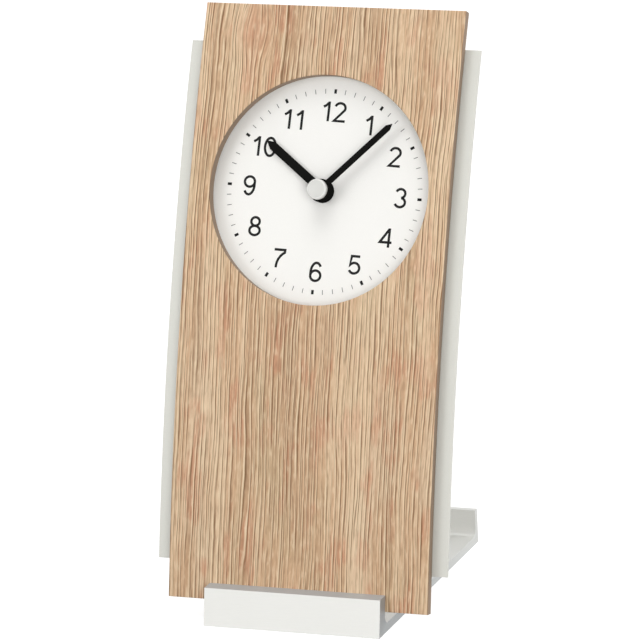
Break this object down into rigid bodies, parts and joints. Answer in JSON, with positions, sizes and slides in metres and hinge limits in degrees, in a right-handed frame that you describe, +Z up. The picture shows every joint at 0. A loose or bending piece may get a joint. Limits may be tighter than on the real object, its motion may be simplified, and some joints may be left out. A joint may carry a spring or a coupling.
{
  "type": "desk clock",
  "caption": "Desk clock with a bent wooden panel, a round dial with black hands, an aluminium foot and a geared quartz movement behind the dial.",
  "frame": {"origin": "centre of the foot's underside, on the surface that the clock stands on", "axes": "+Z up, the dial looks towards -Y, +X to the viewer's right"},
  "size_m": [0.1044, 0.105, 0.2],
  "materials": {
    "oak_veneer": "satin lacquered oak veneer, upright grain",
    "silver_sheet": "matt silver",
    "satin_aluminium": "satin anodised",
    "screw_steel": "zinc plated",
    "dial_white": "matt off-white lacquer with black print",
    "foam": "closed-cell foam",
    "black_plastic": "fine moulded texture",
    "battery_wrap": "printed sleeve",
    "contact_metal": "nickel plated",
    "board": "solder mask",
    "iron": "bare soft iron",
    "white_plastic": "natural acetal",
    "copper": "enamelled copper wire",
    "brass": "turned",
    "hand_black": "matt black",
    "cap_metal": "turned, satin"
  },
  "bodies": {
    "stand": {"front_panel": "oak_veneer", "back_plate": "silver_sheet", "foot_bracket": "satin_aluminium", "foot_screws": "screw_steel", "plate_screws": "screw_steel", "dial": "dial_white", "dial_screws": "screw_steel", "dial_spacers": "foam", "mounting_pad": "foam", "movement_case": "black_plastic", "movement_cover": "black_plastic", "battery": "battery_wrap", "contact_positive": "contact_metal", "contact_negative": "contact_metal", "circuit_board": "board", "quartz_crystal": "contact_metal", "stator": "iron", "coil_bobbin": "white_plastic", "coil_winding": "copper"},
    "minute_work": {"minute_arbor": "brass", "minute_hand": "hand_black", "hub_cap": "cap_metal"},
    "hour_work": {"hour_wheel": "white_plastic", "hour_hand": "hand_black"},
    "setting_work": {"motion_wheel": "white_plastic", "setting_knob": "black_plastic"},
    "fourth_work": {"fourth_wheel": "white_plastic"},
    "third_work": {"third_wheel": "white_plastic"},
    "centre_work": {"centre_wheel": "white_plastic"},
    "fifth_work": {"fifth_wheel": "white_plastic"},
    "rotor_work": {"rotor": "white_plastic"}
  },
  "joints": [
    {"name": "minute_turn", "type": "hinge", "parent": "stand", "child": "minute_work", "pos_m": [0, -0.00004, 0.14012], "axis": [0, 0.9298, -0.368], "continuous": true},
    {"name": "hour_turn", "type": "hinge", "parent": "stand", "child": "hour_work", "pos_m": [0, -0.00004, 0.14012], "axis": [0, 0.9298, -0.368], "continuous": true},
    {"name": "setting_turn", "type": "hinge", "parent": "stand", "child": "setting_work", "pos_m": [0.0108, -0.00004, 0.14012], "axis": [0, 0.9298, -0.368], "continuous": true},
    {"name": "fourth_turn", "type": "hinge", "parent": "stand", "child": "fourth_work", "pos_m": [-0.00488, 0.00582, 0.15491], "axis": [0, 0.9298, -0.368], "continuous": true},
    {"name": "third_turn", "type": "hinge", "parent": "stand", "child": "third_work", "pos_m": [-0.00721, 0.00262, 0.14683], "axis": [0, 0.9298, -0.368], "continuous": true},
    {"name": "centre_turn", "type": "hinge", "parent": "stand", "child": "centre_work", "pos_m": [0, -0.00004, 0.14012], "axis": [0, 0.9298, -0.368], "continuous": true},
    {"name": "fifth_turn", "type": "hinge", "parent": "stand", "child": "fifth_work", "pos_m": [0.00232, 0.00582, 0.15491], "axis": [0, 0.9298, -0.368], "continuous": true},
    {"name": "rotor_turn", "type": "hinge", "parent": "stand", "child": "rotor_work", "pos_m": [0.00932, 0.00582, 0.15491], "axis": [0, 0.9298, -0.368], "continuous": true}
  ],
  "couplings": [
    {"joint": "hour_turn", "follows": "minute_turn", "ratio": 0.083333},
    {"joint": "setting_turn", "follows": "minute_turn", "ratio": -0.33333},
    {"joint": "third_turn", "follows": "fourth_turn", "ratio": -0.125},
    {"joint": "centre_turn", "follows": "fourth_turn", "ratio": 0.016667},
    {"joint": "fifth_turn", "follows": "fourth_turn", "ratio": -5},
    {"joint": "rotor_turn", "follows": "fourth_turn", "ratio": 30}
  ]
}
